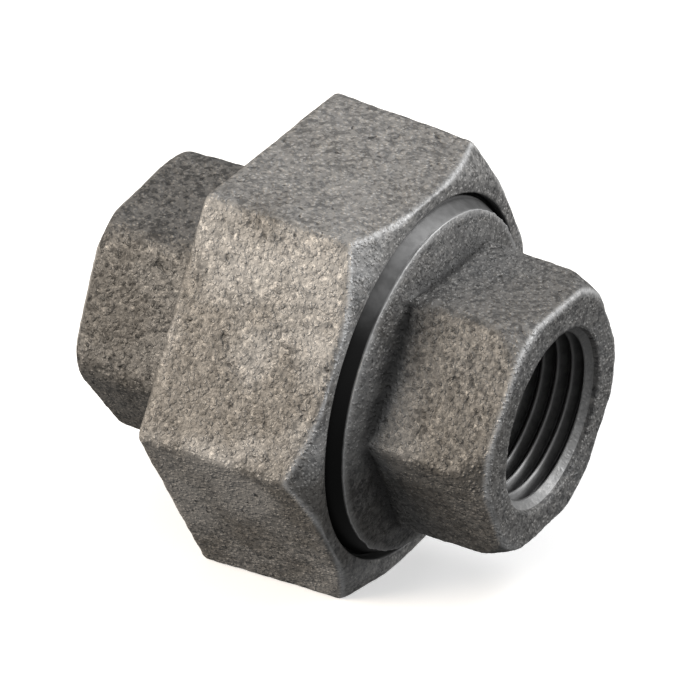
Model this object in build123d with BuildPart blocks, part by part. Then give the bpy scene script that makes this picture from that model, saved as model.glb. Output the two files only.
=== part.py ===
"""A 3/8 NPT malleable-iron pipe union with a brass ground-joint seat.

Four pieces on one axis. The threaded end (+X side) carries a female pipe port, a wrench hexagon and the
male union thread. The tailpiece (-X side) carries the other pipe port, its hexagon and a collar. The union
nut hangs on the tailpiece by an inner lip behind the collar and screws onto the threaded end, which
squeezes the brass seat ring in the tailpiece's nose into the cone of the threaded end.

Frame: +X along the pipe axis towards the threaded end, +Z up through a flat of the nut, origin on the
axis at half the overall length. Millimetres.
"""
import os
from math import sqrt

from build123d import *

# ---- overall stations along the axis ---------------------------------------------------------------
OVERALL = 41.06                     # end face to end face, screwed tight
HALF = OVERALL / 2
NUT_LEFT = -7.95                    # the nut's lip face
NUT_LENGTH = 15.70
NUT_RIGHT = NUT_LEFT + NUT_LENGTH   # the nut's open, threaded face

# ---- union nut -------------------------------------------------------------------------------------
NUT_FLATS = 36.96                   # across flats at the lip face, the parting plane of the casting
NUT_DRAFT = 2.43                    # casting draft of each flat, in degrees, narrowing towards +X
NUT_EDGE = 0.45                     # rounding of the hexagon's long edges
CROWN_START = 6.15                  # station where the crown leaves the corners
CROWN_CORNER = 20.65                # its radius there
CROWN_FACE = 18.10                  # its radius at the open face
CROWN_DOME = 0.05                   # how far every crown bulges from a straight cone
LIP_THICK = 3.00                    # the inner lip that pulls on the collar
LIP_BORE = 13.10                    # passes over the tailpiece's hexagon
LIP_CHAMFER = 0.40
MOUTH_BORE = 16.52                  # plain counterbore ahead of the nut's thread
MOUTH_DEPTH = 1.25

# ---- union thread, 11 threads per inch, right hand, drawn as plain cylinders at the pitch line ----------
UNION_PITCH_R = 15.885
UNION_FIT = 0.05                    # radial running clearance
THREAD_END = 5.20                   # last station of the male thread
THREAD_RUNOUT = 0.60
NECK_R = 15.10                      # turned relief after the thread
TAPER_X = 6.95                      # the turned taper starts here, inside the nut's mouth
TAPER_R = 16.15
TAPER_WALL = 0.20                   # axial length of the step up to it
RIM_X = 8.80                        # where the taper meets the raw casting
RIM_R = 15.29

# ---- pipe ports, 3/8 NPT female ---------------------------------------------------------------------
PORT_R = 7.34                       # tap drill, 37/64 inch
PORT_MOUTH_R = 8.15                 # countersink at the face
PORT_MOUTH_DEPTH = 1.14
PORT_LENGTH = 10.40                 # effective thread length

# ---- threaded end ------------------------------------------------------------------------------------
RIGHT_FLATS = 21.90                 # across flats at the end face
RIGHT_DRAFT = 1.40
RIGHT_EDGE = 0.80                   # rounding of the hexagon's long edges
RIGHT_CLOCK = -2.9                  # how far the hexagon is turned from the nut's, in degrees
RIGHT_HEX_START = 9.60
RIGHT_CROWN_R = 11.30               # the crown that takes the corners off, at the end face
RIGHT_CROWN_ROUND = 0.60
RIGHT_CROWN_RISE = 0.50             # radial growth of the crown per millimetre inward
FLARE_TOP_X = RIM_X + 0.45          # the cast flare curves down from here
FLARE_TOP_R = RIM_R - 0.75
FLARE_FOOT_X = RIM_X + 3.90
FLARE_FOOT_R = 10.65
FLARE_CURVE = 2.75
NOSE_X = -1.80                      # front face of the male thread
NOSE_CHAMFER = 0.90
CONE_MOUTH_R = 11.30                # 45 degree seat cone, at the nose face
CHAMBER_R = 8.60                    # cored waterway behind the seat
CHAMBER_TAPER = 1.00                # axial length of its step down to the port

# ---- tailpiece ---------------------------------------------------------------------------------------
LEFT_FLATS = 22.30
LEFT_DRAFT = 1.70
LEFT_EDGE = 2.30
LEFT_CLOCK = 6.4
LEFT_HEX_END = -9.90                # where the hexagon runs into the shank
LEFT_CROWN_R = 11.75
LEFT_CROWN_ROUND = 1.00
LEFT_CROWN_RISE = 0.85
SHANK_R = 12.80                     # turns inside the nut's lip
SHANK_END = NUT_LEFT - 0.50
COVE_FOOT_X = NUT_LEFT - 3.20
COVE_FOOT_R = 11.15
COVE_CURVE = 2.60
COLLAR_R = 14.80                    # clears the nut's thread crests
COLLAR_THICK = 2.80
COLLAR_CHAMFER = 0.40
LIP_GAP = 0.05                      # between lip and collar when tight
RECESS_R = 10.60                    # holds the brass ring
RECESS_DEPTH = 3.00
WATERWAY_R = 8.20
WATERWAY_TAPER = 0.80

# ---- seat ring ---------------------------------------------------------------------------------------
RING_FIT = 0.05                     # radial gap in the recess
RING_END_GAP = 0.02
RING_CHAMFER = 0.30
SEAT_CONTACT_R = 9.90               # radius of the contact circle on the cone
SEAT_GAP = 0.02                     # left between ball face and cone when tight

CLEAR = 5.0                         # how far cutting profiles run past the solid

PORT_IN = HALF - PORT_MOUTH_DEPTH               # the port's thread starts here, on either side
PORT_END = PORT_IN - PORT_LENGTH
CONE_REACH = CONE_MOUTH_R - CHAMBER_R
LIP_INNER = NUT_LEFT + LIP_THICK
COLLAR_BACK = LIP_INNER + LIP_GAP
COLLAR_FRONT = COLLAR_BACK + COLLAR_THICK
RECESS_FLOOR = COLLAR_FRONT - RECESS_DEPTH
THREAD_MOUTH = NUT_RIGHT - MOUTH_DEPTH


def hexagon(flats, clock=0.0):
    """A hexagon with a flat towards +Z, turned by the clocking angle."""
    return RegularPolygon(radius=flats / 2, side_count=6, major_radius=False, rotation=clock)


def flats_of(block):
    """The six side faces of a straight hexagonal block."""
    return block.faces().filter_by(Axis.X, reverse=True)


def long_edges(block):
    """The six edges that run along the axis."""
    return block.edges().filter_by(lambda edge: abs((edge @ 1 - edge @ 0).X) > 1)


def crown_section(face_x, back_x, crown_r, rounding, rise):
    """Half-section of everything inside a domed and rounded crown, from the end face back to back_x."""
    inward = 1 if back_x > face_x else -1
    corner = rounding * (1 - sqrt(0.5))
    shoulder = (face_x + inward * rounding, crown_r)
    reach = abs(back_x - face_x) - rounding
    back = (back_x, crown_r + rise * reach)
    SagittaArc(shoulder, back, inward * CROWN_DOME)
    Polyline(back, (back_x, 0), (face_x, 0), (face_x, crown_r - rounding))
    ThreePointArc(
        (face_x, crown_r - rounding), (face_x + inward * corner, crown_r - corner), shoulder
    )


# ---- union nut: drafted hexagon, conical crown, lip, thread bore ---------------------------------------
with BuildPart() as union_nut:
    with BuildSketch(Plane.YZ.offset(NUT_LEFT)):
        hexagon(NUT_FLATS)
    extrude(amount=NUT_LENGTH)
    draft(flats_of(union_nut), neutral_plane=Plane.YZ.offset(NUT_LEFT), angle=NUT_DRAFT)
    fillet(long_edges(union_nut), radius=NUT_EDGE)
    with BuildSketch(Plane.XZ):
        with BuildLine():
            SagittaArc((NUT_RIGHT, CROWN_FACE), (CROWN_START, CROWN_CORNER), -CROWN_DOME)
            Polyline(
                (CROWN_START, CROWN_CORNER),
                (CROWN_START, CROWN_CORNER + CLEAR),
                (NUT_LEFT - CLEAR, CROWN_CORNER + CLEAR),
                (NUT_LEFT - CLEAR, 0),
                (NUT_RIGHT, 0),
                (NUT_RIGHT, CROWN_FACE),
            )
        make_face()
    revolve(axis=Axis.X, mode=Mode.INTERSECT)
    with BuildSketch(Plane.XZ):
        with BuildLine():
            Polyline(
                (NUT_LEFT - CLEAR, 0),
                (NUT_LEFT - CLEAR, LIP_BORE + LIP_CHAMFER),
                (NUT_LEFT, LIP_BORE + LIP_CHAMFER),
                (NUT_LEFT + LIP_CHAMFER, LIP_BORE),
                (LIP_INNER, LIP_BORE),
                (LIP_INNER, UNION_PITCH_R + UNION_FIT),
                (THREAD_MOUTH, UNION_PITCH_R + UNION_FIT),
                (THREAD_MOUTH, MOUTH_BORE),
                (NUT_RIGHT + CLEAR, MOUTH_BORE),
                (NUT_RIGHT + CLEAR, 0),
                close=True,
            )
        make_face()
    revolve(axis=Axis.X, mode=Mode.SUBTRACT)

# ---- threaded end: hexagon, cast flare, turned neck, male thread, seat cone, pipe port ------------------
with BuildPart() as threaded_end:
    with BuildSketch(Plane.YZ.offset(RIGHT_HEX_START)):
        hexagon(RIGHT_FLATS, RIGHT_CLOCK)
    extrude(amount=HALF - RIGHT_HEX_START)
    draft(flats_of(threaded_end), neutral_plane=Plane.YZ.offset(HALF), angle=RIGHT_DRAFT)
    fillet(long_edges(threaded_end), radius=RIGHT_EDGE)
    with BuildSketch(Plane.XZ):
        with BuildLine():
            crown_section(HALF, RIGHT_HEX_START, RIGHT_CROWN_R, RIGHT_CROWN_ROUND, RIGHT_CROWN_RISE)
        make_face()
    revolve(axis=Axis.X, mode=Mode.INTERSECT)
    with BuildSketch(Plane.XZ):
        with BuildLine():
            Polyline(
                (FLARE_FOOT_X, FLARE_FOOT_R),
                (FLARE_FOOT_X, 0),
                (NOSE_X, 0),
                (NOSE_X, UNION_PITCH_R - NOSE_CHAMFER),
                (NOSE_X + NOSE_CHAMFER, UNION_PITCH_R),
                (THREAD_END, UNION_PITCH_R),
                (THREAD_END + THREAD_RUNOUT, NECK_R),
                (TAPER_X - TAPER_WALL, NECK_R),
                (TAPER_X, TAPER_R),
                (RIM_X, RIM_R),
                (FLARE_TOP_X, FLARE_TOP_R),
            )
            RadiusArc((FLARE_TOP_X, FLARE_TOP_R), (FLARE_FOOT_X, FLARE_FOOT_R), -FLARE_CURVE)
        make_face()
    revolve(axis=Axis.X)
    with BuildSketch(Plane.XZ):
        with BuildLine():
            Polyline(
                (NOSE_X - CLEAR, 0),
                (NOSE_X - CLEAR, CONE_MOUTH_R),
                (NOSE_X, CONE_MOUTH_R),
                (NOSE_X + CONE_REACH, CHAMBER_R),
                (PORT_END - CHAMBER_TAPER, CHAMBER_R),
                (PORT_END, PORT_R),
                (PORT_IN, PORT_R),
                (HALF, PORT_MOUTH_R),
                (HALF + CLEAR, PORT_MOUTH_R),
                (HALF + CLEAR, 0),
                close=True,
            )
        make_face()
    revolve(axis=Axis.X, mode=Mode.SUBTRACT)

# ---- tailpiece: hexagon, shank, collar, ring recess, pipe port ------------------------------------------
with BuildPart() as tailpiece:
    with BuildSketch(Plane.YZ.offset(-HALF)):
        hexagon(LEFT_FLATS, LEFT_CLOCK)
    extrude(amount=LEFT_HEX_END + HALF)
    draft(flats_of(tailpiece), neutral_plane=Plane.YZ.offset(-HALF), angle=-LEFT_DRAFT)
    fillet(long_edges(tailpiece), radius=LEFT_EDGE)
    with BuildSketch(Plane.XZ):
        with BuildLine():
            crown_section(-HALF, LEFT_HEX_END, LEFT_CROWN_R, LEFT_CROWN_ROUND, LEFT_CROWN_RISE)
        make_face()
    revolve(axis=Axis.X, mode=Mode.INTERSECT)
    with BuildSketch(Plane.XZ):
        with BuildLine():
            Polyline(
                (COVE_FOOT_X, COVE_FOOT_R),
                (COVE_FOOT_X, 0),
                (COLLAR_FRONT, 0),
                (COLLAR_FRONT, COLLAR_R - COLLAR_CHAMFER),
                (COLLAR_FRONT - COLLAR_CHAMFER, COLLAR_R),
                (COLLAR_BACK, COLLAR_R),
                (COLLAR_BACK, SHANK_R),
                (SHANK_END, SHANK_R),
            )
            RadiusArc((SHANK_END, SHANK_R), (COVE_FOOT_X, COVE_FOOT_R), COVE_CURVE)
        make_face()
    revolve(axis=Axis.X)
    with BuildSketch(Plane.XZ):
        with BuildLine():
            Polyline(
                (-HALF - CLEAR, 0),
                (-HALF - CLEAR, PORT_MOUTH_R),
                (-HALF, PORT_MOUTH_R),
                (-PORT_IN, PORT_R),
                (-PORT_END, PORT_R),
                (WATERWAY_TAPER - PORT_END, WATERWAY_R),
                (RECESS_FLOOR, WATERWAY_R),
                (RECESS_FLOOR, RECESS_R),
                (COLLAR_FRONT + CLEAR, RECESS_R),
                (COLLAR_FRONT + CLEAR, 0),
                close=True,
            )
        make_face()
    revolve(axis=Axis.X, mode=Mode.SUBTRACT)

# ---- seat ring: turned brass, with a ball face that beds on the iron cone -------------------------------
cone_touch_x = NOSE_X + CONE_MOUTH_R - SEAT_CONTACT_R
ball_centre_x = cone_touch_x - SEAT_CONTACT_R
ball_r = SEAT_CONTACT_R * sqrt(2) - SEAT_GAP
ring_back = RECESS_FLOOR + RING_END_GAP
ring_outer = RECESS_R - RING_FIT


def ball_x(radius):
    """Station of the ball face at this radius from the axis."""
    return ball_centre_x + sqrt(ball_r**2 - radius**2)


with BuildPart() as seat_ring:
    with BuildSketch(Plane.XZ):
        with BuildLine():
            Polyline(
                (ball_x(WATERWAY_R), WATERWAY_R),
                (ring_back, WATERWAY_R),
                (ring_back, ring_outer - RING_CHAMFER),
                (ring_back + RING_CHAMFER, ring_outer),
                (ball_x(ring_outer), ring_outer),
            )
            ThreePointArc(
                (ball_x(ring_outer), ring_outer),
                (ball_x(SEAT_CONTACT_R), SEAT_CONTACT_R),
                (ball_x(WATERWAY_R), WATERWAY_R),
            )
        make_face()
    revolve(axis=Axis.X)

union_nut.part.label = "union_nut"
threaded_end.part.label = "threaded_end"
tailpiece.part.label = "tailpiece"
seat_ring.part.label = "seat_ring"

os.makedirs("parts", exist_ok=True)
for piece in (union_nut, threaded_end, tailpiece, seat_ring):
    export_step(piece.part, f"parts/{piece.part.label}.step")
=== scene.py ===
"""Looks for the pipe union, built round its CAD frame.

Each of the four pieces is one closed grid of points: a half-section swept round the pipe axis (X), whose
radius may change with the angle, so that the same grid carries hexagons, crowns, coves and screw threads.
Lengths are millimetres until a mesh is made. Angles are in radians round +X, from +Y towards +Z.
"""
from math import cos, pi, radians, sin, tan

import bpy
import numpy as np
from mathutils import Matrix, Vector


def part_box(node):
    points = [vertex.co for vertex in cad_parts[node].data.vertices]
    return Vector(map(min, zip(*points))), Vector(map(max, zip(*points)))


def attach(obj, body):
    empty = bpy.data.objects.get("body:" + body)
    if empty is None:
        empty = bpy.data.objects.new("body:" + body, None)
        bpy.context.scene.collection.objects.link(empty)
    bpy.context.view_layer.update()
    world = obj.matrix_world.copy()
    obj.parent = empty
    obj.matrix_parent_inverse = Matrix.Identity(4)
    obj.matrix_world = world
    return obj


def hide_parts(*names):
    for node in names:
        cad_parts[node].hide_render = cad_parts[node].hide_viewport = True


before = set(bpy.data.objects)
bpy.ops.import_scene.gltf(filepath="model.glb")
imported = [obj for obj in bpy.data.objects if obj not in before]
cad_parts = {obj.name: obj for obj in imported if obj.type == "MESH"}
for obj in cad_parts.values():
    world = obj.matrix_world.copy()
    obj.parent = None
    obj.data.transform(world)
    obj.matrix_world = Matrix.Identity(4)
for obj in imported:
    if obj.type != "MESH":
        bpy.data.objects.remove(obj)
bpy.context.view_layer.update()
MM = 0.001
TURN = 2 * pi


def span(node):
    """(low, high) stations of a CAD node along X, and its largest radius in Z, in millimetres."""
    low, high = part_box(node)
    return low.x / MM, high.x / MM, high.z / MM


# ---- driving sizes: stations from the frame, most of the rest as on the CAD part --------------------------
NUT_LEFT, NUT_RIGHT, NUT_APOTHEM = span("union_nut")
NOSE, RIGHT_FACE, TAPER_R = span("threaded_end")
LEFT_FACE, COLLAR_FRONT, COLLAR_R = span("tailpiece")
RING_BACK, _, RING_OUTER = span("seat_ring")

NUT_DRAFT = radians(2.43)
NUT_EDGE = 0.85                     # rounding of the hexagon's long edges
NUT_SKIN = 0.10                     # how far the lumpy skin stands out from the CAD flats
NUT_LIP_EDGE = 0.55                 # rounding at the lip face
NUT_MOUTH_EDGE = 0.25               # rounding at the open face
CROWN_CORNER_X, CROWN_CORNER_R = NUT_RIGHT - 1.60, 20.65
CROWN_FACE_R = 18.10
CROWN_BLEND = 0.30                  # rounding where the crown cuts the flats
MOUTH_R, MOUTH_DEPTH = 16.52, 1.25
LIP_BORE, LIP_THICK = 13.10, 3.00

UNION_PITCH = 25.4 / 11
UNION_PITCH_R = 15.885
UNION_DEPTH = 1.40
UNION_CLEARANCE = 0.12              # how far the nut's thread stands off the pitch line
MOUTH_CLEARANCE = 0.06              # between the male crests and the nut's mouth

THREAD_END = 5.20
NECK_R = 15.10
TAPER_X = 6.95                      # where the turned taper starts, inside the nut's mouth
RIM_X, RIM_R = 8.80, 15.29
COVE_R = 2.75                       # of the hollow between the rim and the wrench flats
BURR = 0.10                         # the torn edge the turning tool leaves on the rim
TORN_SIDE = radians(200)            # where it is worst, round the axis
BURR_SEED = 61

PORT_PITCH = 25.4 / 18
PORT_DEPTH = 1.05
PORT_CREST_R = 7.50
PORT_TAPER = 1 / 32
PORT_MOUTH_R, PORT_MOUTH_DEPTH = 8.15, 1.14
PORT_LENGTH = 10.40
PORT_START = {+1: 19.64, -1: -19.10}    # station where a crest passes angle 0, by side
COUNTERSINK_SLOPE = 0.95
LIP_DEPTH = 0.50                    # the cast lip outside the countersink
CHAMBER_R, CONE_MOUTH_R = 8.60, 11.30
END_SKIN = 0.10                     # as NUT_SKIN, on the two wrench hexagons

SHANK_R = LIP_BORE - 0.30
LIP_GAP = 0.05                      # between the nut's lip and the collar
RING_FIT = 0.05                     # between the ring and its recess
RECESS_DEPTH = 3.00
WATERWAY_R = 8.20
SEAT_CONTACT_R = 9.90               # where the ring's ball face meets the cone
SEAT_GAP = 0.02

TAIL_AROUND = 400                   # points round the tailpiece
SKIN_STEP = 0.17                    # between the rows of a cast outside
EDGE_HIGHLIGHT, EDGE_HIGHLIGHT_IN, EDGE_HIGHLIGHT_WIDTH = 0.65, 0.22, 0.18     # painted highlight along the rounded rim of an end face
RIDGE_HIGHLIGHT, RIDGE_HIGHLIGHT_WIDTH = 0.85, 0.28                       # painted highlight along the edge of the nut's crown

# flats is the width at the end face. crown is the radius there of the cone that takes the corners off, and
# rise is how much that radius grows per millimetre inward.
HEXES = {
    "right": dict(face=RIGHT_FACE, flats=21.90, draft=radians(1.40), edge=0.80, clock=radians(-2.9),
                  crown=11.40, rise=0.50, round=0.50),
    "left": dict(face=LEFT_FACE, flats=22.30, draft=radians(1.70), edge=2.30, clock=radians(6.4),
                 crown=11.75, rise=0.85, round=0.85),
}


# ---- noise ------------------------------------------------------------------------------------------------
NOISE_CELLS = 4096                  # the lattice repeats after this many
NOISE_GAIN = 1.6                    # brings its peaks to about 1


def lattice_noise(points, size, seed):
    """Smooth random bumps, roughly -1 to 1 and about `size` across, at each point."""
    rng = np.random.default_rng(seed)
    order = rng.permutation(NOISE_CELLS)
    slopes = rng.normal(size=(NOISE_CELLS, 3))
    slopes /= np.linalg.norm(slopes, axis=1)[:, None]
    place = points / size
    low = np.floor(place).astype(int)
    part = place - low
    blend = part**3 * (part * (part * 6 - 15) + 10)
    total = np.zeros(len(points))
    for corner in np.ndindex(2, 2, 2):
        cell = low + corner
        key = 0
        for along_axis in cell.T:
            key = order[(key + along_axis) % NOISE_CELLS]
        weight = np.prod(np.where(corner, blend, 1 - blend), axis=1)
        total += weight * ((part - corner) * slopes[key]).sum(1)
    return total * NOISE_GAIN


# ---- half-sections ----------------------------------------------------------------------------------------
def hexagon(theta, apothem, edge, clock):
    """Polar radius of a hexagon with rounded long edges, its flat turned by clock from +Z."""
    centre_r = (apothem - edge) / cos(pi / 6)
    from_corner = np.abs((theta - clock + pi / 6) % (pi / 3) - pi / 6)
    offset = centre_r * np.sin(from_corner)
    arc = centre_r * np.cos(from_corner) + np.sqrt(np.maximum(edge**2 - offset**2, 0))
    flat = apothem / np.cos(pi / 6 - from_corner)
    arc_end = np.arctan2(edge * sin(pi / 6), centre_r + edge * cos(pi / 6))
    return np.where(from_corner < arc_end, arc, flat)


def soft_min(a, b, radius):
    """The smaller of two surfaces, with their meeting edge rounded over about `radius`."""
    h = np.clip(0.5 + (b - a) / (2 * radius), 0, 1)
    return b + (a - b) * h - radius * h * (1 - h)


def soft_max(a, b, radius):
    """The larger of two surfaces, with the hollow between them filled over about `radius`."""
    return -soft_min(-a, -b, radius)


def thread(x, theta, pitch, start, crest, root):
    """0 at a right-hand thread's root to 1 at its crest. A crest passes x = start at angle 0.

    crest and root are the shares of the pitch that are flat there.
    """
    phase = ((x - start) / pitch - theta / TURN) % 1
    ramp = np.abs(2 * phase - 1)
    return np.clip((ramp - root) / (1 - crest - root), 0, 1)


def eased(inward, radius):
    """How far a corner of this radius falls back, `inward` of the face it rounds into."""
    left = np.clip(radius - inward, 0, radius)
    return radius - (radius**2 - left**2) ** 0.5


def fade(x, start, end):
    """0 before start, 1 after end, smooth between; start may be the larger."""
    t = np.clip((x - start) / (end - start), 0, 1)
    return t * t * (3 - 2 * t)


class Section:
    """Rows of a closed half-section. Each row has a station and a radius per angle, and three weights.

    soft, 0 to 1, rounds its corners off. cast, 0 to 1, gives it the rough casting skin. The third weight, 0
    to 1,
    lightens it to bright metal: rubbed on the rim, a painted highlight elsewhere. 0 to -1 paints it black, as
    shade.
    """

    def __init__(self, around):
        self.theta = np.arange(around) * TURN / around
        self.x, self.r, self.soft, self.cast, self.wear_and_painted_light = [], [], [], [], []

    def row(self, x, r, soft=0.0, cast=0.0, wear_and_painted_light=0.0):
        """One row. Each value is a number, or an array with one per angle."""
        columns = self.x, self.r, self.soft, self.cast, self.wear_and_painted_light
        for rows, value in zip(columns, (x, r, soft, cast, wear_and_painted_light)):
            rows.append(np.broadcast_to(value, self.theta.shape).astype(float))

    def along(self, stations, radius, soft=0.0, cast=0.0, wear_and_painted_light=lambda x: 0.0):
        """Rows at these stations, with radius(x) round the axis, and the third weight as a function of x."""
        for x in stations:
            self.row(x, radius(x), soft, cast, wear_and_painted_light(x))

    def across(self, x, r0, r1, count, soft=0.0, cast=0.0):
        """A flat face at station x from radius r0 to r1, without its two ends."""
        for t in np.linspace(0, 1, count + 2)[1:-1]:
            self.row(x, r0 + (r1 - r0) * t, soft, cast)

    def grid(self, rounds):
        """Points (rows, around, 3), and the cast weights and those of wear and painted light, after rounding
        the soft rows.
        """
        x, r, soft = np.array(self.x), np.array(self.r), np.array(self.soft)
        for _ in range(rounds):
            for a in (x, r):
                a += 0.5 * soft * ((np.roll(a, 1, 0) + np.roll(a, -1, 0)) / 2 - a)
        points = np.stack([x, r * np.cos(self.theta), r * np.sin(self.theta)], -1)
        return points, np.array(self.cast), np.array(self.wear_and_painted_light)


def normals_of(points):
    """Outward unit normals of a closed grid of points."""
    round_axis = np.roll(points, -1, 1) - np.roll(points, 1, 1)
    along = np.roll(points, -1, 0) - np.roll(points, 1, 0)
    n = np.cross(round_axis, along)
    return n / np.maximum(np.linalg.norm(n, axis=-1, keepdims=True), 1e-12)


def blurred(values, rounds):
    """A closed grid of values, each averaged with its four neighbours, over and over."""
    for _ in range(rounds):
        values = (values * 2 + np.roll(values, 1, 0) + np.roll(values, -1, 0)
                  + np.roll(values, 1, 1) + np.roll(values, -1, 1)) / 6
    return values


SKIN = ((2.8, 0.060), (1.15, 0.040), (0.55, 0.028))     # size and height of the casting's bumps
PITS = ((0.80, 0.7), (0.40, 0.5))   # size and weight of the two noises that its pits come from
PIT_DEPTH, PIT_LEVEL = 0.10, 0.42   # a pit opens where the noise is above this level
PIT_SEED = 11                       # added to the piece's own seed
CORNER_ROUNDS = 3                   # passes that round the soft rows off
NEAR_ROUNDS, FAR_ROUNDS = 10, 90    # passes that flatten grains, and whole corners


def roughened(points, cast, seed):
    """Sand-cast skin: waves, lumps and pits along the normals, where cast is above 0."""
    flat = points.reshape(-1, 3)
    height = np.zeros(len(flat))
    for k, (size, tall) in enumerate(SKIN):
        height += tall * lattice_noise(flat, size, seed + k)
    pits = 0
    for k, (size, weight) in enumerate(PITS):
        pits = pits + lattice_noise(flat, size, seed + PIT_SEED + k) * weight
    height -= PIT_DEPTH * np.clip(pits - PIT_LEVEL, 0, 1) / (1 - PIT_LEVEL)
    moved = normals_of(points) * (height.reshape(cast.shape) * cast)[..., None]
    return points + moved


def make_piece(name, section, body, material, seed):
    """Builds the section as one closed mesh that rides on its body.

    The mesh carries what its material needs at each point: cast, wear and painted light, and how far it
    stands proud of its near surroundings and sunk below its wider ones, in millimetres; its material paints
    shade where it is sunk.
    """
    points, cast, wear_and_painted_light = section.grid(CORNER_ROUNDS)
    points = roughened(points, cast, seed)
    proud = ((points - blurred(points, NEAR_ROUNDS)) * normals_of(points)).sum(-1)
    raised = ((points - blurred(points, FAR_ROUNDS)) * normals_of(points)).sum(-1)
    rows, around = cast.shape
    mesh = bpy.data.meshes.new(name)
    index = np.arange(rows * around).reshape(rows, around)
    ahead, next_row = np.roll(index, -1, 1), np.roll(index, -1, 0)
    corner = np.roll(next_row, -1, 1)
    faces = np.stack([index, ahead, corner, next_row], -1).reshape(-1, 4)
    mesh.from_pydata((points.reshape(-1, 3) * MM).tolist(), [], faces.tolist())
    mesh.shade_smooth()
    for label, values in (("cast", cast), ("wear_and_painted_light", wear_and_painted_light), ("proud", blurred(proud, 1)), ("sunk", -raised)):
        layer = mesh.attributes.new(label, "FLOAT", "POINT")
        layer.data.foreach_set("value", np.ascontiguousarray(values, np.float32).ravel())
    mesh.materials.append(material)
    piece = bpy.data.objects.new(name, mesh)
    bpy.context.scene.collection.objects.link(piece)
    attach(piece, body)
    return piece


def stations(start, end, step):
    """Stations from start to end inclusive, about `step` apart."""
    return np.linspace(start, end, max(2, int(round(abs(end - start) / step)) + 1))


def from_edge(start, end, step, radius):
    """As stations, but closer together where a corner of this radius is rounded at the start."""
    turn = start + np.sign(end - start) * radius * (1 - np.cos(np.linspace(0, pi / 2, 6)))
    return np.concatenate([turn, stations(turn[-1], end, step)[1:]])


# ---- the four half-sections -------------------------------------------------------------------------------
def nut_section():
    """The union nut: hexagon, crown, mouth, union thread, relief behind it, lip."""
    s = Section(around=480)
    slope = (CROWN_CORNER_R - CROWN_FACE_R) / (NUT_RIGHT - CROWN_CORNER_X)

    def block_and_crown(x):
        apothem = NUT_APOTHEM - (x - NUT_LEFT) * tan(NUT_DRAFT)
        return hexagon(s.theta, apothem + NUT_SKIN, NUT_EDGE, 0.0), CROWN_FACE_R + slope * (NUT_RIGHT - x)

    def outside(x):
        block, crown = block_and_crown(x)
        crowned = soft_min(block, crown, CROWN_BLEND)
        return crowned - eased(x - NUT_LEFT, NUT_LIP_EDGE) - eased(NUT_RIGHT - x, NUT_MOUTH_EDGE)

    def ridge_highlight(x):
        """Painted highlight along the edge between the flats and the crown."""
        block, crown = block_and_crown(x)
        return RIDGE_HIGHLIGHT * np.exp(-(((block - crown) / RIDGE_HIGHLIGHT_WIDTH) ** 2))

    thread_in = NUT_RIGHT - MOUTH_DEPTH
    lip_in = NUT_LEFT + LIP_THICK
    relief_r = UNION_PITCH_R + UNION_DEPTH / 2 + 0.10

    def inside(x):
        """The nut's thread, run out into the relief at its lip end."""
        depth = thread(x, s.theta, UNION_PITCH, 0.0, crest=0.14, root=0.10)
        female = UNION_PITCH_R + UNION_CLEARANCE + UNION_DEPTH * (depth - 0.5)
        female = relief_r + (female - relief_r) * fade(x, lip_in + 1.2, lip_in + 2.4)
        return np.minimum(female, MOUTH_R) if x > thread_in - 0.3 else female

    s.along(from_edge(NUT_LEFT, NUT_RIGHT, SKIN_STEP, NUT_LIP_EDGE), outside, soft=1, cast=1, wear_and_painted_light=ridge_highlight)
    s.across(NUT_RIGHT, outside(NUT_RIGHT), MOUTH_R, count=7, soft=1, cast=0.8)
    s.along(stations(NUT_RIGHT, thread_in, step=0.25), lambda x: MOUTH_R, soft=0.2, cast=0.15)
    s.along(stations(thread_in, lip_in, step=0.22), inside)
    s.across(lip_in, relief_r, LIP_BORE, count=6)
    s.along(stations(lip_in, NUT_LEFT, step=0.50), lambda x: LIP_BORE, soft=0.6)
    s.across(NUT_LEFT, LIP_BORE, outside(NUT_LEFT), count=26, soft=1, cast=0.8)
    return s


def hex_end(s, spec):
    """Radius of one wrench hexagon with its crowned end, as a function of the station."""
    face = spec["face"]

    def outside(x):
        inward = abs(face - x)
        block = hexagon(s.theta, spec["flats"] / 2 + inward * tan(spec["draft"]), spec["edge"], spec["clock"])
        crowned = soft_min(block, spec["crown"] + spec["rise"] * inward, radius=0.25)
        return crowned + END_SKIN - eased(inward, spec["round"])

    return outside


def end_highlight(spec):
    """Painted highlight along the rounded edge of an end face, as a function of the station."""
    return lambda x: EDGE_HIGHLIGHT * np.exp(-(((abs(spec["face"] - x) - EDGE_HIGHLIGHT_IN) / EDGE_HIGHLIGHT_WIDTH) ** 2))


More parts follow.
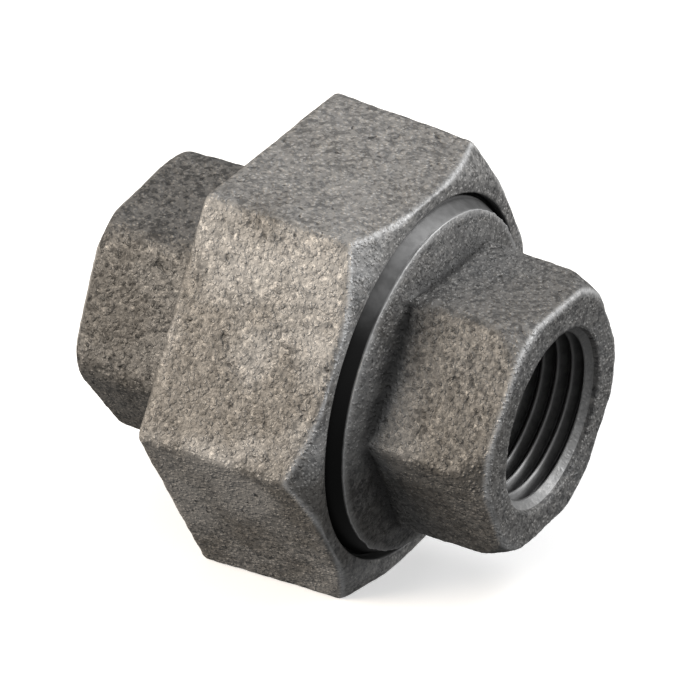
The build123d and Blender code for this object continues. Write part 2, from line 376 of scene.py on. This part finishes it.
def port_rows(s, side, inner):
    """Countersink and tapered pipe thread from the end face inwards. side is +1 at the right end."""
    face = RIGHT_FACE if side > 0 else LEFT_FACE
    mouth = face - side * PORT_MOUTH_DEPTH

    def bore(x):
        inward = abs(face - x)
        wave = thread(x, s.theta, PORT_PITCH, PORT_START[side], crest=0.06, root=0.10)
        crest = PORT_CREST_R - PORT_TAPER * (inward - PORT_MOUTH_DEPTH)
        open_end = fade(inward, PORT_MOUTH_DEPTH - 0.1, PORT_MOUTH_DEPTH + 0.35)
        deep_end = fade(inward, PORT_MOUTH_DEPTH + PORT_LENGTH + 0.8, PORT_LENGTH - 1.5)
        root_r = crest + PORT_DEPTH * deep_end * open_end
        tapped = root_r - (root_r - crest) * wave
        cone = PORT_MOUTH_R - COUNTERSINK_SLOPE * (inward - LIP_DEPTH)
        return np.maximum(tapped, cone)

    # the cast lip rounds into the countersink, and the countersink into the thread
    s.row(face - side * 0.05, PORT_MOUTH_R + 0.12, cast=1)
    s.row(face - side * 0.20, PORT_MOUTH_R + 0.05, cast=0.5)
    s.row(face - side * LIP_DEPTH, PORT_MOUTH_R, cast=0.3)
    # the countersink's rows are lightened by the wear weight: a painted reflection on the machined band
    for x in stations(face - side * (LIP_DEPTH + 0.02), mouth, step=0.13):
        s.row(x, bore(x), cast=0.25, wear_and_painted_light=0.25)
    s.along(stations(mouth, inner, step=0.115)[1:], bore)


def rim_burr(theta):
    """How far the torn edge of the rim stands out, at each angle."""
    rim = np.stack([0 * theta, RIM_R * np.cos(theta), RIM_R * np.sin(theta)], -1)
    torn = 0.5 + lattice_noise(rim, 0.9, BURR_SEED) + 0.6 * lattice_noise(rim, 0.35, BURR_SEED + 1)
    chipped = np.clip(lattice_noise(rim, 2.6, BURR_SEED + 2), 0, 1) * (1 + np.cos(theta - TORN_SIDE))
    return BURR * np.clip(torn + 1.5 * chipped, 0.1, 2.2)


def threaded_end_section():
    """The threaded end: nose, union thread, neck, turned taper, rim, flare, hexagon, port, chamber, cone."""
    s = Section(around=360)
    block = hex_end(s, HEXES["right"])
    flare_top = RIM_X + 0.45
    flare_foot = RIM_X + 3.90
    foot_r, top_r = 10.65, RIM_R - 0.75
    middle = Vector(((flare_top + flare_foot) / 2, (top_r + foot_r) / 2))
    half = Vector((flare_foot - flare_top, foot_r - top_r)) / 2
    away = Vector((-half.y, half.x)).normalized()
    centre = middle + away * (COVE_R**2 - half.length**2) ** 0.5

    def flare(x):
        if x <= flare_top:
            return RIM_R + (top_r - RIM_R) * (x - RIM_X) / (flare_top - RIM_X)
        if x >= flare_foot:
            return foot_r - 1.5 * (x - flare_foot)      # dives under the wrench flats
        return centre.y - max(COVE_R**2 - (x - centre.x) ** 2, 0) ** 0.5

    def outside(x):
        return soft_max(block(x), np.full(s.theta.shape, flare(x)), radius=0.30)

    def male(x):
        """The union thread: chamfered at the nose, clear of the nut's mouth, and run out at the neck."""
        depth = thread(x, s.theta, UNION_PITCH, 0.0, crest=0.10, root=0.14)
        cut = UNION_PITCH_R + UNION_DEPTH * (depth - 0.5)
        cut = np.minimum(cut, min(UNION_PITCH_R - 0.2 + (x - NOSE), MOUTH_R - MOUTH_CLEARANCE))
        return NECK_R + (cut - NECK_R) * fade(x, THREAD_END + 0.5, THREAD_END - 0.6)

    port_end = RIGHT_FACE - PORT_MOUTH_DEPTH - PORT_LENGTH
    upper = fade(np.sin(s.theta), 0.5, 1.0)              # the taper is lightened on top and painted black below, as shade
    nose_r = UNION_PITCH_R - 0.9
    s.across(NOSE, CONE_MOUTH_R, nose_r, count=8)
    s.along(stations(NOSE, THREAD_END + 0.6, step=0.20), male)
    s.along(stations(THREAD_END + 0.8, TAPER_X - 0.3, step=0.30), lambda x: NECK_R)
    # painted shade: the taper's colour goes black below and a little lighter on top
    for x in stations(TAPER_X, RIM_X - 0.20, step=0.16):
        part = (x - TAPER_X) / (RIM_X - TAPER_X)
        s.row(x, TAPER_R + (RIM_R - TAPER_R) * part, wear_and_painted_light=1.10 * upper - 1)
    burr = rim_burr(s.theta)
    # the torn rim is weighted bright: bare turned metal, with a painted highlight along the edge on top of it
    s.row(RIM_X - 0.07, RIM_R - 0.02 + 0.7 * burr, wear_and_painted_light=0.5)
    s.row(RIM_X + 0.02, RIM_R + burr, wear_and_painted_light=1)
    s.row(RIM_X + 0.09, RIM_R - 0.05 + 0.5 * burr, cast=0.6, wear_and_painted_light=0.3)
    s.along(from_edge(RIGHT_FACE, RIM_X + 0.20, SKIN_STEP, HEXES["right"]["round"])[::-1], outside,
            soft=1, cast=1, wear_and_painted_light=end_highlight(HEXES["right"]))
    s.across(RIGHT_FACE, outside(RIGHT_FACE), PORT_MOUTH_R + 0.22, count=14, soft=0.8, cast=1)
    port_rows(s, +1, port_end)
    cone_reach = CONE_MOUTH_R - CHAMBER_R
    cone_end = NOSE + CONE_MOUTH_R - CHAMBER_R
    s.along(stations(port_end - 0.6, cone_end, step=0.45), lambda x: CHAMBER_R, soft=0.7, cast=1)
    for out in stations(0, cone_reach, step=0.30)[1:]:
        s.row(cone_end - out, CHAMBER_R + out)
    return s


def tailpiece_section():
    """The tailpiece: hexagon, cove, shank, collar, recess for the ring, waterway, port."""
    s = Section(around=TAIL_AROUND)
    block = hex_end(s, HEXES["left"])
    lip_in = NUT_LEFT + LIP_THICK
    collar_back = lip_in + LIP_GAP
    recess_r = RING_OUTER + RING_FIT
    recess_floor = COLLAR_FRONT - RECESS_DEPTH
    cove_top, cove_foot = NUT_LEFT - 0.5, NUT_LEFT - 3.2
    foot_r = 11.15

    def outside(x):
        t = np.clip((x - cove_foot) / (cove_top - cove_foot), 0, 1)
        cove = foot_r + (SHANK_R - foot_r) * (1 - np.sqrt(1 - t * t)) if t < 1 else SHANK_R
        if x < cove_foot:
            cove = foot_r - 1.5 * (cove_foot - x)
        return soft_max(block(x), np.full(s.theta.shape, float(cove)), radius=0.5)

    port_end = LEFT_FACE + PORT_MOUTH_DEPTH + PORT_LENGTH
    s.across(LEFT_FACE, PORT_MOUTH_R + 0.22, outside(LEFT_FACE), count=14, soft=0.8, cast=1)
    s.along(from_edge(LEFT_FACE, cove_top, SKIN_STEP, HEXES["left"]["round"]), outside,
            soft=1, cast=1, wear_and_painted_light=end_highlight(HEXES["left"]))
    s.along(stations(cove_top + 0.3, collar_back, step=0.40), lambda x: SHANK_R)
    s.across(collar_back, SHANK_R, COLLAR_R, count=5)
    s.along(stations(collar_back, COLLAR_FRONT - 0.4, step=0.35), lambda x: COLLAR_R)
    s.across(COLLAR_FRONT, COLLAR_R - 0.4, recess_r, count=10)
    s.along(stations(COLLAR_FRONT, recess_floor, step=0.40), lambda x: recess_r)
    s.across(recess_floor, recess_r, WATERWAY_R, count=6)
    s.along(stations(recess_floor, port_end + 0.8, step=0.40), lambda x: WATERWAY_R, soft=0.5, cast=1)
    # this half-section comes back to the end face from inside, so the port's rows run in reverse
    port = Section(around=TAIL_AROUND)
    port_rows(port, -1, port_end)
    for x, r, cast in zip(port.x[::-1], port.r[::-1], port.cast[::-1]):
        s.row(x, r, cast=cast)
    return s


def ring_section():
    """The brass ring: a plain back and sides, and a ball face that meets the cone."""
    s = Section(around=240)
    cone_x = NOSE + CONE_MOUTH_R - SEAT_CONTACT_R
    ball_r = SEAT_CONTACT_R * 2**0.5 - SEAT_GAP

    def ball(radius):
        return cone_x - SEAT_CONTACT_R + (ball_r**2 - radius**2) ** 0.5

    s.across(RING_BACK, WATERWAY_R, RING_OUTER - 0.3, count=5)
    s.along(stations(RING_BACK + 0.3, ball(RING_OUTER), step=0.30), lambda x: RING_OUTER)
    for radius in stations(RING_OUTER, WATERWAY_R, step=0.20)[1:]:
        s.row(ball(radius), radius)
    s.along(stations(ball(WATERWAY_R), RING_BACK, step=0.35)[1:], lambda x: WATERWAY_R)
    return s


# ---- materials --------------------------------------------------------------------------------------------
class Nodes:
    """Short calls for building a shader tree."""

    def __init__(self, name):
        self.material = bpy.data.materials.new(name)
        self.material.use_nodes = True
        self.tree = self.material.node_tree
        self.shader = self.tree.nodes["Principled BSDF"]
        self.place = self.tree.nodes.new("ShaderNodeTexCoord").outputs["Object"]

    def link(self, source, target):
        """Feeds a socket from another socket, or sets it to a number or colour."""
        if isinstance(source, (int, float, tuple)):
            target.default_value = source
        else:
            self.tree.links.new(source, target)

    def attribute(self, name):
        """One of the weights that the mesh carries."""
        node = self.tree.nodes.new("ShaderNodeAttribute")
        node.attribute_name = name
        return node.outputs["Fac"]

    def noise(self, size, detail, rough, seed, distort=0.0):
        """Noise with features about `size` millimetres across."""
        node = self.tree.nodes.new("ShaderNodeTexNoise")
        node.noise_dimensions = "4D"
        self.link(self.place, node.inputs["Vector"])
        node.inputs["W"].default_value = seed
        node.inputs["Scale"].default_value = 1 / (size * MM)
        node.inputs["Detail"].default_value = detail
        node.inputs["Roughness"].default_value = rough
        node.inputs["Distortion"].default_value = distort
        return node.outputs["Fac"]

    def beads(self, size):
        """Rounded grains about `size` millimetres across: distance from each centre, and a shade for each."""
        node = self.tree.nodes.new("ShaderNodeTexVoronoi")
        self.link(self.place, node.inputs["Vector"])
        node.inputs["Scale"].default_value = 1 / (size * MM)
        node.inputs["Detail"].default_value = 1.0
        node.inputs["Roughness"].default_value = 0.45
        return node.outputs["Distance"], node.outputs["Color"]

    def place_along(self, axis):
        """Position along an axis of the piece, in metres."""
        node = self.tree.nodes.new("ShaderNodeSeparateXYZ")
        self.link(self.place, node.inputs[0])
        return node.outputs[axis]

    def math(self, operation, a, b):
        node = self.tree.nodes.new("ShaderNodeMath")
        node.operation = operation
        self.link(a, node.inputs[0])
        self.link(b, node.inputs[1])
        return node.outputs[0]

    def ramp(self, value, low, high, to_low=0.0, to_high=1.0):
        """Maps low..high onto to_low..to_high, smoothly and clamped."""
        node = self.tree.nodes.new("ShaderNodeMapRange")
        node.interpolation_type = "SMOOTHSTEP"
        self.link(value, node.inputs["Value"])
        for key, number in (("From Min", low), ("From Max", high), ("To Min", to_low), ("To Max", to_high)):
            node.inputs[key].default_value = number
        return node.outputs["Result"]

    def mix(self, fac, a, b):
        """Colour a where fac is 0, b where it is 1."""
        node = self.tree.nodes.new("ShaderNodeMix")
        node.data_type = "RGBA"
        self.link(fac, node.inputs["Factor"])
        self.link(a, node.inputs["A"])
        self.link(b, node.inputs["B"])
        return node.outputs["Result"]

    def bump(self, height, distance, strength=1.0, below=None):
        """Normals of a height that spans `distance` millimetres, laid over those of the layer below."""
        node = self.tree.nodes.new("ShaderNodeBump")
        node.inputs["Distance"].default_value = distance * MM
        self.link(strength, node.inputs["Strength"])
        self.link(height, node.inputs["Height"])
        if below is not None:
            self.link(below, node.inputs["Normal"])
        return node.outputs["Normal"]


def grey(value, warmth=0.0):
    """A linear grey, warmed towards beige."""
    return (value * (1 + warmth), value, value * (1 - 1.3 * warmth), 1)


def cast_iron(name, body, dark, bright, warmth):
    """Sand-cast iron in three greys, body, dark and bright, and bare cut metal where cast is 0."""
    n = Nodes(name)
    cast, wear_and_painted_light, proud, sunk = (n.attribute(label) for label in ("cast", "wear_and_painted_light", "proud", "sunk"))
    mottle = n.noise(3.2, detail=3, rough=0.55, seed=1)
    cloud = n.noise(9.0, detail=2, rough=0.55, seed=26)
    patch = n.noise(1.1, detail=2, rough=0.6, seed=2)
    grain = n.noise(0.34, detail=2, rough=0.6, seed=3)
    speck = n.noise(0.62, detail=2, rough=0.6, seed=9)
    fine = n.noise(0.16, detail=1, rough=0.5, seed=4)
    pit = n.noise(0.75, detail=1, rough=0.5, seed=5, distort=0.4)
    gap, shade = n.beads(0.42)

    # the skin: broad shades first, then grains and specks, then stains, pits, and painted shade in the
    # hollows
    skin = n.mix(n.ramp(mottle, 0.38, 0.64), grey(body * 0.84, warmth * 1.6), grey(body * 1.08))
    skin = n.mix(n.ramp(cloud, 0.46, 0.60, 0, 0.60), skin, grey(body * 1.40))
    skin = n.mix(n.ramp(patch, 0.50, 0.72, 0, 0.35), skin, grey(dark, warmth * 2))
    skin = n.mix(n.ramp(shade, 0.44, 0.24, 0, 0.52), skin, grey(dark * 0.85))
    skin = n.mix(n.ramp(shade, 0.50, 0.76, 0, 0.75), skin, grey(bright, warmth * 2))
    skin = n.mix(n.ramp(gap, 0.30, 0.75, 0, 0.50), skin, grey(dark * 0.5))
    skin = n.mix(n.ramp(grain, 0.46, 0.28, 0, 0.35), skin, grey(dark * 0.5))
    skin = n.mix(n.ramp(speck, 0.44, 0.30, 0, 0.42), skin, grey(dark * 0.7))
    skin = n.mix(n.ramp(speck, 0.56, 0.70, 0, 0.38), skin, grey(bright, warmth * 4))
    side = n.ramp(n.place_along("Y"), -4 * MM, -14 * MM, 0.15, 1.0)    # the -Y side is the most stained
    stained = n.math("MULTIPLY", n.ramp(cloud, 0.53, 0.42, 0, 0.50), side)
    skin = n.mix(stained, skin, grey(dark, warmth * 8))
    dusty = n.math("MULTIPLY", n.ramp(cloud, 0.50, 0.62, 0, 0.36), side)
    skin = n.mix(dusty, skin, grey(body * 2.0))
    skin = n.mix(n.ramp(pit, 0.31, 0.24, 0, 0.80), skin, grey(dark * 0.25))
    skin = n.mix(n.ramp(proud, -0.03, -0.14, 0, 0.6), skin, grey(dark * 0.4))
    # painted shade: darker where the surface lies sunk below its wider surroundings, in coves, gaps and bores
    skin = n.mix(n.ramp(sunk, 0.15, 0.70, 0, 0.70), skin, grey(dark * 0.35))

    # bare cut metal, with a painted highlight on crests and painted shade in roots; then rubbed bright metal
    # and painted highlights where the wear weight is above 0, and painted black as shade where it is below 0
    cut = n.mix(n.ramp(patch, 0.35, 0.65), grey(0.12), grey(0.17))
    cut = n.mix(n.ramp(proud, 0.02, 0.20, 0, 0.8), cut, grey(0.36))
    cut = n.mix(n.ramp(proud, -0.02, -0.14, 0, 0.8), cut, grey(0.02))
    body_colour = n.mix(n.ramp(cast, 0.10, 0.40), cut, skin)
    # lightened above 0 as rubbed rim metal and painted highlights, painted black as shade below 0
    rubbed_and_highlight = n.math("MULTIPLY", wear_and_painted_light, n.ramp(grain, 0.20, 0.50, 0.5, 1.0))
    with_painted_shade = n.mix(n.ramp(wear_and_painted_light, -0.05, -0.85), body_colour, grey(0.010))
    n.link(n.mix(rubbed_and_highlight, with_painted_shade, grey(0.62)), n.shader.inputs["Base Color"])
    n.link(n.ramp(cast, 0.10, 0.40, 0.60, 0.30), n.shader.inputs["Metallic"])
    skin_rough = n.ramp(grain, 0.40, 0.66, 0.62, 0.42)
    cut_rough = 0.48
    rough = n.tree.nodes.new("ShaderNodeMix")
    n.link(n.ramp(cast, 0.10, 0.40), rough.inputs["Factor"])
    n.link(cut_rough, rough.inputs["A"])
    n.link(skin_rough, rough.inputs["B"])
    n.link(rough.outputs["Result"], n.shader.inputs["Roughness"])

    pits = n.bump(n.ramp(pit, 0.20, 0.40), 0.10, cast)
    lumps = n.bump(patch, 0.20, cast, below=pits)
    grains = n.bump(n.ramp(gap, 0.80, 0.10), 0.11, cast, below=lumps)
    sand = n.bump(speck, 0.06, cast, below=grains)
    n.link(n.bump(fine, 0.03, cast, below=sand), n.shader.inputs["Normal"])
    return n.material


def brass(name):
    """Turned brass, slightly dull and stained."""
    n = Nodes(name)
    stain = n.noise(2.5, detail=4, rough=0.6, seed=7)
    n.link(n.mix(n.ramp(stain, 0.35, 0.7), (0.55, 0.34, 0.12, 1), (0.34, 0.19, 0.07, 1)),
           n.shader.inputs["Base Color"])
    n.shader.inputs["Metallic"].default_value = 1.0
    n.link(n.ramp(stain, 0.35, 0.7, 0.28, 0.45), n.shader.inputs["Roughness"])
    n.link(n.bump(n.noise(0.25, detail=2, rough=0.6, seed=8), 0.02), n.shader.inputs["Normal"])
    return n.material


PIECES = (
    ("nut_cast", "union_nut", "nut", "iron_nut", nut_section,
     cast_iron("nut_iron", body=0.216, dark=0.108, bright=0.49, warmth=0.012), 100),
    ("threaded_end_cast", "threaded_end", "threaded_end", "iron_threaded_end", threaded_end_section,
     cast_iron("threaded_end_iron", body=0.140, dark=0.070, bright=0.34, warmth=0.012), 200),
    ("tailpiece_cast", "tailpiece", "tailpiece", "iron_tailpiece", tailpiece_section,
     cast_iron("tailpiece_iron", body=0.090, dark=0.046, bright=0.29, warmth=0.012), 300),
    ("seat_ring_turned", "seat_ring", "seat_carrier", "brass_seat", ring_section, brass("seat_brass"), 400),
)
for name, node, body, slot, section, material, seed in PIECES:
    piece = make_piece(name, section(), body, material, seed)
    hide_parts(node)


# ---- floor: the union rests on the nut's lower flat, which its draft tilts --------------------------------
FLOOR_DROP = 0.12                   # room for the lumpy skin under the nut's CAD flat, in millimetres
FLOOR_HALF = 2.0                    # half the floor's width, in metres


def make_floor():
    """White paper, tilted to the nut's lower flat."""
    mesh = bpy.data.meshes.new("floor")
    half = FLOOR_HALF
    corners = [(-half, -half, 0), (half, -half, 0), (half, half, 0), (-half, half, 0)]
    mesh.from_pydata(corners, [], [(0, 1, 2, 3)])
    floor = bpy.data.objects.new("floor", mesh)
    bpy.context.scene.collection.objects.link(floor)
    floor.matrix_world = (
        Matrix.Translation((NUT_LEFT * MM, 0, -(NUT_APOTHEM + FLOOR_DROP) * MM))
        @ Matrix.Rotation(-NUT_DRAFT, 4, "Y")
    )
    n = Nodes("floor_paper")
    n.shader.inputs["Base Color"].default_value = (0.82, 0.82, 0.82, 1)
    n.shader.inputs["Roughness"].default_value = 0.9
    n.shader.inputs["Emission Color"].default_value = (1, 1, 1, 1)
    n.shader.inputs["Emission Strength"].default_value = 0.45
    mesh.materials.append(n.material)
    floor.visible_diffuse = False
    floor.visible_glossy = False


make_floor()


# ---- light ------------------------------------------------------------------------------------------------
def area_light(name, place, size, power, colour=(1, 1, 1)):
    """A square soft light at `place` (metres), aimed at the object."""
    data = bpy.data.lights.new(name, "AREA")
    data.size = size
    data.energy = power
    data.color = colour
    lamp = bpy.data.objects.new(name, data)
    bpy.context.scene.collection.objects.link(lamp)
    lamp.location = place
    lamp.rotation_euler = (-Vector(place)).to_track_quat("-Z", "Y").to_euler()


area_light("back", (0.35, 0.60, 0.75), 0.30, 2.4)
area_light("right_back", (0.75, 0.50, 0.35), 0.40, 5.3)
area_light("key", (-0.62, -0.70, 0.40), 0.50, 12.6, (1.0, 0.87, 0.72))


def make_world():
    """A white studio sky, brighter overhead than below."""
    world = bpy.data.worlds.new("studio")
    bpy.context.scene.world = world
    world.use_nodes = True
    sky = world.node_tree
    direction = sky.nodes.new("ShaderNodeTexCoord").outputs["Generated"]
    height = sky.nodes.new("ShaderNodeSeparateXYZ")
    sky.links.new(direction, height.inputs[0])
    shade = sky.nodes.new("ShaderNodeMapRange")
    sky.links.new(height.outputs["Z"], shade.inputs["Value"])
    for key, number in (("From Min", -0.20), ("From Max", 0.80), ("To Min", 0.13), ("To Max", 0.66)):
        shade.inputs[key].default_value = number
    background = sky.nodes["Background"]
    sky.links.new(shade.outputs["Result"], background.inputs["Strength"])
    background.inputs["Color"].default_value = (1, 1, 1, 1)


make_world()
bpy.context.scene.view_settings.view_transform = "Standard"


# ---- camera: three-quarter view from the right front, above -----------------------------------------------
AZIMUTH, ELEVATION, ROLL = radians(29.719), radians(32.195), radians(1.5624)
DISTANCE = 396.5                    # millimetres, as AIM and the two shifts
LENS = 234.4
AIM = (-0.91, 0.0, 0.0)             # what the view is centred on, before the small shifts
SHIFT_RIGHT, SHIFT_UP = 1.1286, -0.1556

back = Vector((sin(AZIMUTH) * cos(ELEVATION), -cos(AZIMUTH) * cos(ELEVATION), sin(ELEVATION)))
right = Vector((cos(AZIMUTH), sin(AZIMUTH), 0))
up = back.cross(right)
right, up = cos(ROLL) * right + sin(ROLL) * up, cos(ROLL) * up - sin(ROLL) * right
eye = (Vector(AIM) + right * SHIFT_RIGHT + up * SHIFT_UP + back * DISTANCE) * MM
lens = bpy.data.cameras.new("camera")
lens.lens = LENS
lens.clip_start = 0.01
camera = bpy.data.objects.new("camera", lens)
bpy.context.scene.collection.objects.link(camera)
camera.matrix_world = Matrix.Translation(eye) @ Matrix((right, up, back)).transposed().to_4x4()
bpy.context.scene.camera = camera
